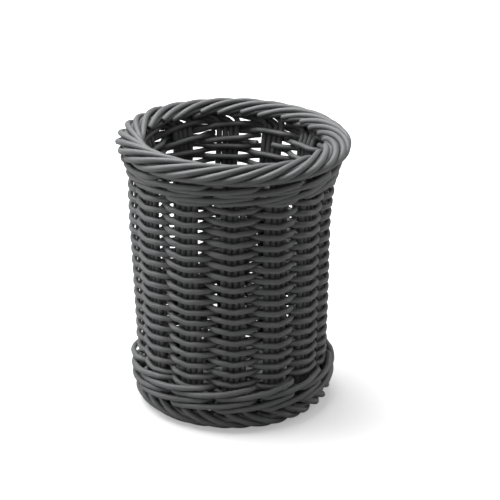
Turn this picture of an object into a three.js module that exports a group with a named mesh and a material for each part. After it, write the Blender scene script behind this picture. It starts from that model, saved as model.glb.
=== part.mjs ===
// A round basket for cutlery, woven by hand from one plastic strand.
// +Z is up, the foot stands on z = 0 with its middle at the origin, and the front faces -Y.
// Lengths are in millimetres.

import * as THREE from 'three';

const DEGREE = Math.PI / 180;
const FULL_TURN = 2 * Math.PI;

// Overall form
const HEIGHT = 148;
const RIM_RADIUS = 60;
const ROLL_WIDTH = 14.6;
const ROLL_HEIGHT = 11.6;
const RIM_OVERHANG = 13.5;
const WALL_LEAN = 1.4;
const FOOT_SPREAD = 7.1;
const BASE_HEIGHT = 9.6;

// The rim tilts: it was pressed down more at the front than at the back
const RIM_TILT = 2.1 * DEGREE;

// Thickness of each kind of strand, and the space left between strands that touch
const STAKE = 2.9;
const WEAVER_WIDTH = 2.7;
const WEAVER_HEIGHT = 2.5;
const WALE = 2.7;
const FOOT_STRAND = 2.5;
const BASE_ROD = 2.7;
const CLEARANCE = 0.3;

// Looseness of the work, over and above the clearance
const ROW_SLACK = 0.01;
const WALE_ROW_SLACK = 0.26;
const WALE_ROUND_SLACK = 0.4;
const BEND_LENGTH = 0.35;
const ROLL_GAP = 1;

// Counts
const STAKE_GROUPS = 13;
const STAKES_PER_GROUP = 4;
const WEAVERS = 6;
const WALE_STRANDS = 3;
const TOP_WALE_ROUND_COUNT = 2;
const BOTTOM_WALE_ROUND_COUNT = 2;
const FOOT_SIDES = [-1, 1];

// Where the work starts, counted in stake groups from the front one
const FRONT_GROUP_TURN = -5.15 * DEGREE;
const START_GROUP = { weave: -5, wale: 6, baseWeave: 4 };

// The groups were spaced by eye: they crowd together on one side and open out on the other
const SPACING_DRIFT = 6.5 * DEGREE;
const DRIFT_PHASE = 19 * DEGREE;

// Laying down the rim: where the roll starts and ends, measured from its outermost point
const ROLL_START = -54 * DEGREE;
const ROLL_STEP = 36 * DEGREE;
const ROLL_STEPS = 7;
const ROLL_SLANT = 19 * DEGREE;
const FLARE_STEPS = [0, 0.45, 0.72];
const VALLEY_DEPTH = 0.45;

// In the rim two stakes of a group lie over the other two, which are cut off inside the roll:
// for how many steps they go on, and how deep they lie before and after, in stake thicknesses
const STACKED_STEPS = 3;
const STACK_DEPTH = 0.8;
const CUT_DEPTH = 0.2;
const NOTCH_DEPTH = 0.4;

// Bringing a wale up to its next round, in bays
const STEP_UP_BAYS = 1.5;

// The foot border: how steeply a strand slants at each point from its inner end to the wale, how
// much of it is worn flat, and the shape of its turn in shares of its half width and its height
const FOOT_SLANTS = [
  24 * DEGREE, 23 * DEGREE, 22 * DEGREE, 22 * DEGREE, 28 * DEGREE, 36 * DEGREE, 42 * DEGREE,
];
const FOOT_FLAT = 0.2;
const FOOT_BED_SHARE = 0.25;
const FOOT_CORNER_OUT = 0.75;
const FOOT_CORNER_UP = 0.35;
const FOOT_INNER_UP = 0.6;

const COLOUR = 0x3a3b3d;
const ROUGHNESS = 0.55;

// Sizes that follow from the ones above
const bay = FULL_TURN / STAKE_GROUPS;
const widestSpacing = 1 + SPACING_DRIFT;
const closestSpacing = 1 - SPACING_DRIFT;
const wallRadiusHigh = RIM_RADIUS - RIM_OVERHANG;
const wallRadiusLow = wallRadiusHigh - WALL_LEAN;
const footRadius = wallRadiusLow + FOOT_SPREAD;
const rimDrop = 2 * RIM_RADIUS * Math.tan(RIM_TILT);
const stakePitch = STAKE + CLEARANCE;
const groupReach = (STAKES_PER_GROUP - 1) / 2 * stakePitch;
const weaverEdge = (groupReach + BEND_LENGTH) / wallRadiusLow;
const waleEdge = (groupReach + FOOT_STRAND / 2) / wallRadiusLow;
const rowPitch = WEAVER_HEIGHT + CLEARANCE + ROW_SLACK;
const weaverLayer = STAKE / 2 + CLEARANCE + WEAVER_WIDTH / 2;
const waleLayer = STAKE / 2 + CLEARANCE + WALE / 2;
const footLayer = STAKE / 2 + CLEARANCE + FOOT_STRAND / 2;
const waleOverFoot = footLayer + FOOT_STRAND / 2 + CLEARANCE + WALE / 2;

// A wale strand climbs by one strand for each bay that it runs in front
const waleStroke = (WALE_STRANDS - 2) * bay + 2 * waleEdge;
const waleRowPitch = WALE + CLEARANCE + WALE_ROW_SLACK;
const waleRise = waleRowPitch * waleStroke / bay / 2;
const waleDip = waleRowPitch - waleRise;
const waleRound = (WALE_STRANDS - 1) * waleRowPitch + WALE_ROUND_SLACK;
const waleHalfHeight = waleRise + WALE / 2;

const topWaleClimb = (TOP_WALE_ROUND_COUNT - 1) * waleRound;
const bottomWaleClimb = (BOTTOM_WALE_ROUND_COUNT - 1) * waleRound;
const topWaleHeight = HEIGHT - ROLL_HEIGHT - ROLL_GAP - waleHalfHeight - topWaleClimb;
const bottomWaleHeight = BASE_HEIGHT + BASE_ROD / 2 + CLEARANCE + WALE / 2 + waleDip;
const bottomWaleTop = bottomWaleHeight + bottomWaleClimb + waleHalfHeight;
const weaveBottom = bottomWaleTop + CLEARANCE + WEAVER_HEIGHT / 2;
const weaveTop = topWaleHeight - waleHalfHeight - CLEARANCE - WEAVER_HEIGHT / 2;
const flareStart = topWaleHeight - waleHalfHeight;

const material = new THREE.MeshStandardMaterial({ color: COLOUR, roughness: ROUGHNESS, metalness: 0 });

// Position of a point given by its turn round the basket, its radius and its height.
// The turn is even; the drift of the groups and the drop of the rim are put in here, so that
// every strand shares them.
function place(turn, radius, height) {
  const angle = turn + SPACING_DRIFT * Math.cos(turn + DRIFT_PHASE);
  const raised = Math.max(height - flareStart, 0) / (HEIGHT - flareStart);
  const drop = rimDrop * raised * (1 + Math.cos(angle)) / 2;
  return new THREE.Vector3(radius * Math.sin(angle), -radius * Math.cos(angle), height - drop);
}

function groupTurn(group) {
  return FRONT_GROUP_TURN + group * bay;
}

// A closed solid through rings of points. Each ring goes round counter-clockwise as seen from
// the end of the strand. The two ends are closed by the flat shapes of the first and last rings.
function loft(rings, firstShape, lastShape) {
  const count = firstShape.length;
  const positions = rings.flat().flatMap((point) => point.toArray());
  const faces = [];
  for (let ring = 0; ring + 1 < rings.length; ring++) {
    const low = ring * count;
    const high = low + count;
    for (let side = 0; side < count; side++) {
      const next = (side + 1) % count;
      faces.push(low + side, low + next, high + next);
      faces.push(low + side, high + next, high + side);
    }
  }
  for (const [a, b, c] of THREE.ShapeUtils.triangulateShape(firstShape, [])) {
    faces.push(a, c, b);
  }
  const last = (rings.length - 1) * count;
  for (const [a, b, c] of THREE.ShapeUtils.triangulateShape(lastShape, [])) {
    faces.push(last + a, last + b, last + c);
  }
  const geometry = new THREE.BufferGeometry();
  geometry.setAttribute('position', new THREE.Float32BufferAttribute(positions, 3));
  geometry.setIndex(faces);
  geometry.computeVertexNormals();
  return geometry;
}

function strandMesh(name, rings, firstShape, lastShape = firstShape) {
  const mesh = new THREE.Mesh(loft(rings, firstShape, lastShape), material);
  mesh.name = name;
  return mesh;
}

// Section of a strand that goes round the basket: x is up and y is out
function roundSection(width, height) {
  return [
    new THREE.Vector2(height / 2, 0),
    new THREE.Vector2(0, width / 2),
    new THREE.Vector2(-height / 2, 0),
    new THREE.Vector2(0, -width / 2),
  ];
}

// The line of a stake, seen from the side of the basket: x is its radius and y its height.
// It leans out a little up the wall, flares over the top wale and is rolled outwards and over.
const rollCentre = new THREE.Vector2(RIM_RADIUS - ROLL_WIDTH / 2, HEIGHT - ROLL_HEIGHT / 2);
const rollHalfWidth = ROLL_WIDTH / 2 / Math.cos(ROLL_STEP / 2) - STAKE / 2;
const rollHalfHeight = (ROLL_HEIGHT - STAKE) / 2;
const stakeFoot = new THREE.Vector2(wallRadiusLow, BASE_HEIGHT - BASE_ROD - footLayer / 2);

function rollPoint(angle) {
  return new THREE.Vector2(
    rollCentre.x + rollHalfWidth * Math.cos(angle),
    rollCentre.y + rollHalfHeight * Math.sin(angle),
  );
}

function stakeLine() {
  const flareFrom = new THREE.Vector2(wallRadiusHigh, flareStart);
  const flareTo = rollPoint(ROLL_START);
  const rollSlope = -rollHalfHeight / rollHalfWidth / Math.tan(ROLL_START);
  const corner = new THREE.Vector2(flareFrom.x, flareTo.y - (flareTo.x - flareFrom.x) * rollSlope);
  const flare = new THREE.QuadraticBezierCurve(flareFrom, corner, flareTo);
  const line = [stakeFoot, ...FLARE_STEPS.map((step) => flare.getPoint(step))];
  for (let step = 0; step <= ROLL_STEPS; step++) {
    line.push(rollPoint(ROLL_START + step * ROLL_STEP));
  }
  return line;
}

// Directions square to a line of points, to the right of its run
function lineNormals(line) {
  return line.map((point, index) => {
    const before = line[Math.max(index - 1, 0)];
    const after = line[Math.min(index + 1, line.length - 1)];
    const run = after.clone().sub(before).normalize();
    return new THREE.Vector2(run.y, -run.x);
  });
}

const stakePoints = stakeLine();
const stakeNormals = lineNormals(stakePoints);
const rollFirst = 1 + FLARE_STEPS.length;

// A point of the wall below the roll, given by the height on the stakes where it lies and by how
// far it is out from their middle, square to them
function wallPoint(height, out) {
  let upper = 1;
  while (upper < rollFirst && stakePoints[upper].y < height) {
    upper += 1;
  }
  const from = stakePoints[upper - 1];
  const to = stakePoints[upper];
  const share = (height - from.y) / (to.y - from.y);
  const normal = stakeNormals[upper - 1].clone().lerp(stakeNormals[upper], share).normalize();
  return from.clone().lerp(to, share).addScaledVector(normal, out);
}

// A ring of a strand that goes round the wall. In front of a group it is held out a little
// further, so that it clears the stakes between the two edges of the group as well.
function wallRing(turn, height, out, hold, section) {
  return section.map((corner) => {
    const at = wallPoint(height + corner.x, out + corner.y);
    return place(turn, at.x * hold, at.y);
  });
}

function holdOut(edge) {
  return 1 / Math.cos(edge * widestSpacing);
}

// Rings of a strand, or of strands side by side, that run up and down the wall.
// In their sections x is out of the wall and y goes round it, in strand pitches.
function standingRings(line, turns, pitches, sections) {
  const normals = lineNormals(line);
  return line.map((point, index) => sections[index].map((corner) => {
    const at = point.clone().addScaledVector(normals[index], corner.x);
    return place(turns[index] + corner.y * pitches[index], at.x, Math.max(at.y, 0));
  }));
}

// Four stakes side by side, as one ribbon with a rounded front to each stake
function stakeSection() {
  const half = STAKE / 2;
  const reach = (STAKES_PER_GROUP - 1) / 2;
  const edge = reach + half / stakePitch;
  const outline = [
    new THREE.Vector2(0, edge),
    new THREE.Vector2(-half, reach),
    new THREE.Vector2(-half, -reach),
    new THREE.Vector2(0, -edge),
  ];
  for (let stake = 0; stake < STAKES_PER_GROUP; stake++) {
    if (stake > 0) {
      outline.push(new THREE.Vector2(half * (1 - VALLEY_DEPTH), stake - reach - 1 / 2));
    }
    outline.push(new THREE.Vector2(half, stake - reach));
  }
  return outline;
}

// The same stakes in the rim, where half of them lie deeper than the others. The corners come in
// the same order as those of the section in the wall.
const rollPitch = bay / 2;
const rollStakeWidth = STAKE / (rollPitch * rollCentre.x * Math.sin(ROLL_SLANT));

function rimSection(depth) {
  const half = STAKE / 2;
  const side = (1 + rollStakeWidth) / 2;
  const notch = side - rollStakeWidth / 2 * NOTCH_DEPTH * depth / STAKE;
  return [
    new THREE.Vector2(-depth, side),
    new THREE.Vector2(-depth - half, 1 / 2),
    new THREE.Vector2(-depth - half, -1 / 2),
    new THREE.Vector2(-depth, -side),
    new THREE.Vector2(-depth / 2, -notch),
    new THREE.Vector2(0, -side),
    new THREE.Vector2(half, -1 / 2),
    new THREE.Vector2(half * (1 - VALLEY_DEPTH), 0),
    new THREE.Vector2(half, 1 / 2),
    new THREE.Vector2(0, side),
    new THREE.Vector2(-depth / 2, notch),
  ];
}

// How far each point of the stake line has moved round, and how wide the stakes are spread
function stakeCourse() {
  const turns = [0];
  const pitches = [stakePitch / stakePoints[0].x];
  const slopes = [0];
  for (let index = 1; index < stakePoints.length; index++) {
    const point = stakePoints[index];
    const rolled = index >= rollFirst;
    slopes.push(rolled ? 1 / Math.tan(ROLL_SLANT) : 0);
    const run = point.distanceTo(stakePoints[index - 1]);
    const slope = (slopes[index] + slopes[index - 1]) / 2;
    turns.push(turns[index - 1] + run * slope / point.x);
    pitches.push(rolled ? rollPitch : stakePitch / point.x);
  }
  return { turns, pitches };
}

function makeStakeGroups() {
  const { turns, pitches } = stakeCourse();
  const wallSection = stakeSection();
  const stacked = rimSection(STAKE * STACK_DEPTH);
  const cut = rimSection(STAKE * CUT_DEPTH);
  const sections = stakePoints.map((point, index) => {
    if (index < rollFirst) {
      return wallSection;
    }
    return index < rollFirst + STACKED_STEPS ? stacked : cut;
  });
  const meshes = [];
  for (let group = 0; group < STAKE_GROUPS; group++) {
    const groupTurns = turns.map((turn) => turn + groupTurn(group));
    const rings = standingRings(stakePoints, groupTurns, pitches, sections);
    meshes.push(strandMesh(`stake_group_${group + 1}`, rings, wallSection, sections.at(-1)));
  }
  return meshes;
}

// The plain weave climbs steadily; even passes lie outside their stake group and odd ones inside
function makeWeavers() {
  const section = roundSection(WEAVER_WIDTH, WEAVER_HEIGHT);
  const passes = (weaveTop - weaveBottom) / rowPitch * STAKE_GROUPS;
  const perWeaver = 2 * Math.floor(passes / WEAVERS / 2);
  const endGap = CLEARANCE / wallRadiusLow;
  const meshes = [];
  for (let weaver = 0; weaver < WEAVERS; weaver++) {
    const first = START_GROUP.weave + weaver * perWeaver;
    const last = first + perWeaver;
    const rings = [];
    for (let pass = first; pass <= last; pass++) {
      const offsets = [pass === first ? endGap : -weaverEdge, pass === last ? -endGap : weaverEdge];
      for (const offset of offsets) {
        const bays = pass - START_GROUP.weave + offset / bay;
        const height = weaveBottom + rowPitch * bays / STAKE_GROUPS;
        const outside = pass % 2 === 0;
        const out = outside ? weaverLayer : -weaverLayer;
        const hold = outside ? holdOut(weaverEdge) : 1;
        rings.push(wallRing(groupTurn(pass) + offset, height, out, hold, section));
      }
    }
    meshes.push(strandMesh(`weaver_${weaver + 1}`, rings, section));
  }
  return meshes;
}

// Height of a wale of so many rounds above its first one, after so many bays
function waleStep(rounds, bays) {
  let step = 0;
  for (let round = 1; round < rounds; round++) {
    const share = (bays - round * STAKE_GROUPS) / STEP_UP_BAYS + 1;
    step += waleRound * THREE.MathUtils.clamp(share, 0, 1);
  }
  return step;
}

// A wale: each strand goes behind one group and in front of the next two, where it climbs over
// the strand that comes out after it
function makeWale(name, rounds, baseHeight, outerLayer) {
  const section = roundSection(WALE, WALE);
  const endGap = CLEARANCE / wallRadiusLow;
  const lastPass = rounds * STAKE_GROUPS - 1;
  const meshes = [];
  for (let strand = 0; strand < WALE_STRANDS; strand++) {
    const last = lastPass - (lastPass - strand) % WALE_STRANDS;
    const rings = [];
    for (let pass = strand; pass <= last; pass++) {
      const phase = (pass - strand) % WALE_STRANDS;
      const offsets = [pass === strand ? endGap : -waleEdge, pass === last ? -endGap : waleEdge];
      for (const offset of offsets) {
        const inFront = ((phase - 1) * bay + offset + waleEdge) / waleStroke;
        const climb = phase === 0
          ? -waleDip * offset / waleEdge
          : waleRise * (2 * inFront - 1);
        const height = baseHeight + climb + waleStep(rounds, pass + offset / bay);
        const out = phase === 0 ? -waleLayer : outerLayer;
        const hold = phase === 0 ? 1 : holdOut(waleEdge);
        const turn = groupTurn(pass + START_GROUP.wale) + offset;
        rings.push(wallRing(turn, height, out, hold, section));
      }
    }
    meshes.push(strandMesh(`${name}_${strand + 1}`, rings, section));
  }
  return meshes;
}

// The line of a foot strand, from its inner end down, under the foot and up behind the wale
const footInner = wallRadiusLow - footLayer;
const footOuter = footRadius - FOOT_STRAND / 2;
const footBottom = FOOT_STRAND / 2 - FOOT_FLAT;
const footTop = bottomWaleHeight + bottomWaleClimb;
const waleUnderside = bottomWaleHeight - waleHalfHeight;

function footLine() {
  const innerEnd = BASE_HEIGHT - BASE_ROD / 2 - CLEARANCE;
  const middle = (footInner + footOuter) / 2;
  const halfWidth = (footOuter - footInner) / 2;
  const halfBed = halfWidth * FOOT_BED_SHARE;
  const bulge = (waleUnderside + footBottom) / 2;
  const cornerUp = (bulge - footBottom) * FOOT_CORNER_UP;
  return [
    new THREE.Vector2(footInner, innerEnd),
    new THREE.Vector2(footInner, bulge * FOOT_INNER_UP),
    new THREE.Vector2(middle - halfBed, footBottom),
    new THREE.Vector2(middle + halfBed, footBottom),
    new THREE.Vector2(middle + halfWidth * FOOT_CORNER_OUT, footBottom + cornerUp),
    new THREE.Vector2(footOuter, bulge),
    wallPoint(waleUnderside, footLayer),
    wallPoint(footTop, footLayer),
  ];
}

function makeFootStrands() {
  const half = FOOT_STRAND / 2;
  const line = footLine();
  const slopes = line.map((point, index) => (
    index < FOOT_SLANTS.length ? 1 / Math.tan(FOOT_SLANTS[index]) : 0
  ));
  const pitches = line.map((point, index) => (
    Math.hypot(1, index + 1 < FOOT_SLANTS.length ? slopes[index] : 0) / point.x
  ));
  const back = line.map((point, index) => {
    if (index === 0 || index === FOOT_SLANTS.length) {
      return 0;
    }
    const slope = (slopes[index] + slopes[index - 1]) / 2;
    return point.distanceTo(line[index - 1]) * slope / point.x;
  });
  const advance = back.reduce((sum, step) => sum + step, 0);
  const section = [
    new THREE.Vector2(half, half),
    new THREE.Vector2(-half, half),
    new THREE.Vector2(-half, -half),
    new THREE.Vector2(half, -half),
  ];
  const meshes = [];
  for (let group = 0; group < STAKE_GROUPS; group++) {
    for (const side of FOOT_SIDES) {
      let turn = groupTurn(group) + side * groupReach / wallRadiusLow + advance;
      const turns = back.map((step) => {
        turn -= step;
        return turn;
      });
      const rings = standingRings(line, turns, pitches, line.map(() => section));
      const number = 2 * group + (side < 0 ? 1 : 2);
      meshes.push(strandMesh(`foot_strand_${number}`, rings, section));
    }
  }
  return meshes;
}

// The base: double sticks, three laid across three, fanned out to one spoke for each stake group
const baseStickWidth = 2 * BASE_ROD;
const fanRadius = (baseStickWidth + CLEARANCE) / Math.sin(bay * closestSpacing);
const flatRadius = fanRadius + baseStickWidth;
const stakeInside = (wallRadiusLow - STAKE / 2) * Math.cos(groupReach / wallRadiusLow * widestSpacing);
const spokeEnd = stakeInside - CLEARANCE;
const crossLayer = (BASE_ROD + CLEARANCE) / 2;

// The stake groups at the two ends of each base stick. The last group gets the half stick.
const STICK_ENDS = {
  lower: [[0, 8], [1, 7], [2, 6]],
  upper: [[3, 11], [4, 10], [5, 9]],
};
const lastGroup = STAKE_GROUPS - 1;

function baseStickSection() {
  const rod = BASE_ROD / 2;
  return [
    new THREE.Vector2(2 * rod, 0),
    new THREE.Vector2(rod, rod),
    new THREE.Vector2(-rod, rod),
    new THREE.Vector2(-2 * rod, 0),
    new THREE.Vector2(-rod, -rod),
    new THREE.Vector2(rod, -rod),
  ];
}

// Rings of a flat stick along a line of points: in its section x is to the left and y is up
function lyingRings(line, section) {
  return line.map((point, index) => {
    const before = line[Math.max(index - 1, 0)];
    const after = line[Math.min(index + 1, line.length - 1)];
    const run = after.clone().sub(before).setZ(0).normalize();
    const left = new THREE.Vector3(-run.y, run.x, 0);
    return section.map((corner) => {
      const at = point.clone().addScaledVector(left, corner.x);
      at.z += corner.y;
      return at;
    });
  });
}

function makeBaseSticks() {
  const section = baseStickSection();
  const meshes = [];
  const layers = [[STICK_ENDS.lower, -crossLayer], [STICK_ENDS.upper, crossLayer]];
  for (const [sticks, layer] of layers) {
    for (const [from, to] of sticks) {
      const line = [
        place(groupTurn(from), spokeEnd, BASE_HEIGHT),
        place(groupTurn(from), flatRadius, BASE_HEIGHT),
        place(groupTurn(from), fanRadius, BASE_HEIGHT + layer),
        place(groupTurn(to), fanRadius, BASE_HEIGHT + layer),
        place(groupTurn(to), flatRadius, BASE_HEIGHT),
        place(groupTurn(to), spokeEnd, BASE_HEIGHT),
      ];
      meshes.push(strandMesh(`base_stick_${meshes.length + 1}`, lyingRings(line, section), section));
    }
  }
  const halfLine = [
    place(groupTurn(lastGroup), fanRadius + CLEARANCE, BASE_HEIGHT),
    place(groupTurn(lastGroup), spokeEnd, BASE_HEIGHT),
  ];
  meshes.push(strandMesh('base_half_stick', lyingRings(halfLine, section), section));
  return meshes;
}

// The base weave goes over one spoke and under the next, and works its way out
function makeBaseWeaver() {
  const section = roundSection(WEAVER_WIDTH, WEAVER_HEIGHT);
  const layer = BASE_ROD / 2 + CLEARANCE + WEAVER_HEIGHT / 2;
  const pitch = WEAVER_WIDTH + CLEARANCE + ROW_SLACK;
  const inner = flatRadius + WEAVER_WIDTH / 2;
  const waleInside = (wallRadiusLow - waleLayer) * Math.cos(waleEdge * widestSpacing) - WALE / 2;
  const outer = waleInside - CLEARANCE - WEAVER_WIDTH / 2;
  const passes = Math.floor((outer - inner) / pitch * STAKE_GROUPS);
  const reach = BASE_ROD / 2 + BEND_LENGTH;
  const rings = [];
  for (let pass = 0; pass <= passes; pass++) {
    const height = BASE_HEIGHT + (pass % 2 === 0 ? layer : -layer);
    const middle = inner + pitch * pass / STAKE_GROUPS;
    const edge = reach / middle;
    for (const offset of [pass === 0 ? 0 : -edge, pass === passes ? 0 : edge]) {
      const radius = inner + pitch * (pass + offset / bay) / STAKE_GROUPS;
      const turn = groupTurn(START_GROUP.baseWeave + pass) + offset;
      rings.push(section.map((corner) => place(turn, radius + corner.y, height + corner.x)));
    }
  }
  return strandMesh('base_weaver', rings, section);
}

const group = new THREE.Group();
group.add(...makeStakeGroups());
group.add(...makeWeavers());
group.add(...makeWale('top_wale', TOP_WALE_ROUND_COUNT, topWaleHeight, waleLayer));
group.add(...makeWale('bottom_wale', BOTTOM_WALE_ROUND_COUNT, bottomWaleHeight, waleOverFoot));
group.add(...makeFootStrands());
group.add(...makeBaseSticks());
group.add(makeBaseWeaver());

export default group;
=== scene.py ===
"""A round cutlery basket, woven by hand from one dark plastic strand.

Every strand is swept along its own path: the stakes up the wall and over the rolled rim, the
weavers and wales round the stakes, the foot border under the foot, and the base inside it.
All sizes are in metres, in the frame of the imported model: +Z is up and the front faces -Y.
"""

import math

import bpy
import numpy as np
from bpy.props import (
    FloatProperty,
    FloatVectorProperty,
    IntProperty,
    PointerProperty,
)
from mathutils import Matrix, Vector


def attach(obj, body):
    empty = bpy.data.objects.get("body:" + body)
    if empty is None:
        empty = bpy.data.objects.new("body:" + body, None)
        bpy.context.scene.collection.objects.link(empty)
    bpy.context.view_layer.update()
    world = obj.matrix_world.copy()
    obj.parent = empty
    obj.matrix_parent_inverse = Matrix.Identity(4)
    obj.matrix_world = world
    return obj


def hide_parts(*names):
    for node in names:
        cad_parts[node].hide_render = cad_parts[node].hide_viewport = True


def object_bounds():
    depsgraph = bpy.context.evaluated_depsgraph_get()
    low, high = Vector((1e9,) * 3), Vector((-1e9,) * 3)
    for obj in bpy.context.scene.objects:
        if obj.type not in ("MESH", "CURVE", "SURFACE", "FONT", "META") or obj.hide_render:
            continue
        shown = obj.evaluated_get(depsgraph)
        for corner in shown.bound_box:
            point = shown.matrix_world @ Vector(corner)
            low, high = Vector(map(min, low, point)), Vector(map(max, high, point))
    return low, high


bl_info = {
    "name": "Woven cutlery basket",
    "version": (1, 0, 0),
    "blender": (4, 5, 0),
    "location": "View3D > Sidebar > Basket",
    "description": "Builds a round basket woven from plastic strand, with its studio",
    "category": "Add Mesh",
}

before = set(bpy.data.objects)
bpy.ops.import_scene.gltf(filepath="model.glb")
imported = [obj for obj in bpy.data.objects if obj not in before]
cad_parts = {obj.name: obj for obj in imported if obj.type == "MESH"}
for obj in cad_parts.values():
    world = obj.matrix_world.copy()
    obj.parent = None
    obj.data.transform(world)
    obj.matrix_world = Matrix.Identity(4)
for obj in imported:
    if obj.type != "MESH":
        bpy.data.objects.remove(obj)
CAD_LOW, CAD_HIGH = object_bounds()
MM = 0.001
FULL_TURN = 2 * math.pi
NODES = sorted(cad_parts)


def count_nodes(prefix):
    """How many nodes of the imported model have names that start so."""
    return sum(node.startswith(prefix) for node in NODES)


class BasketForm(bpy.types.PropertyGroup):
    """Overall sizes of the basket."""

    height: FloatProperty(
        name="Height", description="From the table to the top of the rim",
        default=CAD_HIGH.z, min=0.08, max=0.3, subtype="DISTANCE", unit="LENGTH",
    )
    rim_radius: FloatProperty(
        name="Rim radius", description="To the outside of the rolled rim",
        default=60 * MM, min=0.03, max=0.2, subtype="DISTANCE", unit="LENGTH",
    )
    roll_width: FloatProperty(
        name="Roll width", description="Width of the rolled rim, seen from above",
        default=14.6 * MM, min=0.006, max=0.04, subtype="DISTANCE", unit="LENGTH",
    )
    roll_height: FloatProperty(
        name="Roll height", description="Height of the rolled rim",
        default=11.6 * MM, min=0.006, max=0.04, subtype="DISTANCE", unit="LENGTH",
    )
    rim_tilt: FloatProperty(
        name="Rim tilt", description="How far the rim tips towards the front",
        default=math.radians(2.1), min=0.0, max=0.2, subtype="ANGLE", unit="ROTATION",
    )
    rim_tilt_turn: FloatProperty(
        name="Rim tilt turn", description="Where the rim is lowest, from the front to the right",
        default=math.radians(28), min=-3.2, max=3.2, subtype="ANGLE", unit="ROTATION",
    )
    rim_slant: FloatProperty(
        name="Rim slant", description="Angle between the strands of the rim and the rim's run",
        default=math.radians(19), min=0.1, max=1.2, subtype="ANGLE", unit="ROTATION",
    )
    wall_radius_low: FloatProperty(
        name="Wall radius at the foot", description="To the middle of the stakes, at the bottom",
        default=45.1 * MM, min=0.02, max=0.2, subtype="DISTANCE", unit="LENGTH",
    )
    wall_radius_high: FloatProperty(
        name="Wall radius at the top", description="To the middle of the stakes, under the rim",
        default=49.0 * MM, min=0.02, max=0.2, subtype="DISTANCE", unit="LENGTH",
    )
    foot_radius: FloatProperty(
        name="Foot radius", description="To the outside of the foot border",
        default=52.2 * MM, min=0.02, max=0.2, subtype="DISTANCE", unit="LENGTH",
    )
    base_height: FloatProperty(
        name="Base height", description="From the table to the middle of the base sticks",
        default=9.6 * MM, min=0.004, max=0.05, subtype="DISTANCE", unit="LENGTH",
    )
    top_wale_height: FloatProperty(
        name="Top wale height", description="Middle of the lower round of the top wale",
        default=126.6 * MM, min=0.05, max=0.3, subtype="DISTANCE", unit="LENGTH",
    )
    back_rise: FloatProperty(
        name="Back rise", description="How much higher the top of the weaving lies at the back",
        default=1.2 * MM, min=0.0, max=0.02, subtype="DISTANCE", unit="LENGTH",
    )
    left_rise: FloatProperty(
        name="Left rise", description="How much higher the weaving lies at the left",
        default=1.7 * MM, min=0.0, max=0.02, subtype="DISTANCE", unit="LENGTH",
    )
    spacing_drift: FloatProperty(
        name="Spacing drift", description="How far the stake groups have wandered round the wall",
        default=math.radians(6.5), min=0.0, max=0.4, subtype="ANGLE", unit="ROTATION",
    )


class StrandSizes(bpy.types.PropertyGroup):
    """Thickness of the strand in each part of the work."""

    stake: FloatProperty(
        name="Stake", description="Diameter of a stake",
        default=3.08 * MM, min=0.001, max=0.01, subtype="DISTANCE", unit="LENGTH",
    )
    weaver: FloatProperty(
        name="Weaver", description="Diameter of a strand of the plain weave",
        default=3.0 * MM, min=0.001, max=0.01, subtype="DISTANCE", unit="LENGTH",
    )
    wale: FloatProperty(
        name="Wale strand", description="Diameter of a strand of the wales",
        default=3.0 * MM, min=0.001, max=0.01, subtype="DISTANCE", unit="LENGTH",
    )
    foot: FloatProperty(
        name="Foot strand", description="Diameter of a strand of the foot border",
        default=3.3 * MM, min=0.001, max=0.01, subtype="DISTANCE", unit="LENGTH",
    )
    base: FloatProperty(
        name="Base rod", description="Diameter of a rod of the base",
        default=2.8 * MM, min=0.001, max=0.01, subtype="DISTANCE", unit="LENGTH",
    )
    stake_pitch: FloatProperty(
        name="Stake pitch", description="Distance between stakes of one group",
        default=3.04 * MM, min=0.001, max=0.02, subtype="DISTANCE", unit="LENGTH",
    )
    row_pitch: FloatProperty(
        name="Row pitch", description="Climb of the plain weave in one round",
        default=2.93 * MM, min=0.001, max=0.02, subtype="DISTANCE", unit="LENGTH",
    )
    wale_pitch: FloatProperty(
        name="Wale pitch", description="Distance between neighbouring strands of a wale",
        default=3.2 * MM, min=0.001, max=0.02, subtype="DISTANCE", unit="LENGTH",
    )
    unevenness: FloatProperty(
        name="Unevenness", description="How far the hand's work strays from the even path",
        default=0.16 * MM, min=0.0, max=0.002, subtype="DISTANCE", unit="LENGTH",
    )


class PlasticFinish(bpy.types.PropertyGroup):
    """Colour and surface of the extruded plastic."""

    charcoal: FloatVectorProperty(
        name="Charcoal", description="Main colour of the strand",
        default=(0.040, 0.0405, 0.042), size=3, min=0.0, max=1.0, subtype="COLOR",
    )
    worn_charcoal: FloatVectorProperty(
        name="Worn charcoal", description="Paler colour in the streaks of the strand",
        default=(0.060, 0.0608, 0.0625), size=3, min=0.0, max=1.0, subtype="COLOR",
    )
    seed: IntProperty(
        name="Hand", description="Another number gives another hand's unevenness",
        default=5, min=0, max=9999,
    )


class Studio(bpy.types.PropertyGroup):
    """Camera, floor and lamps."""

    distance: FloatProperty(
        name="Camera distance", description="From the camera to the middle of the basket",
        default=0.8366, min=0.2, max=5.0, subtype="DISTANCE", unit="LENGTH",
    )
    elevation: FloatProperty(
        name="Camera elevation", description="Angle of the camera above the horizon",
        default=math.radians(21.67), min=0.0, max=1.5, subtype="ANGLE", unit="ROTATION",
    )
    lens: FloatProperty(
        name="Lens", description="Focal length in millimetres on a sensor 36 mm wide",
        default=114.72, min=20.0, max=300.0,
    )
    floor_colour: FloatVectorProperty(
        name="Floor", description="Colour of the floor, which takes the shadow",
        default=(0.39, 0.39, 0.39), size=3, min=0.0, max=1.0, subtype="COLOR",
    )
    light_level: FloatProperty(
        name="Light level", description="Scales every lamp together",
        default=1.0, min=0.0, max=10.0,
    )


# Paths of the strands

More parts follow.
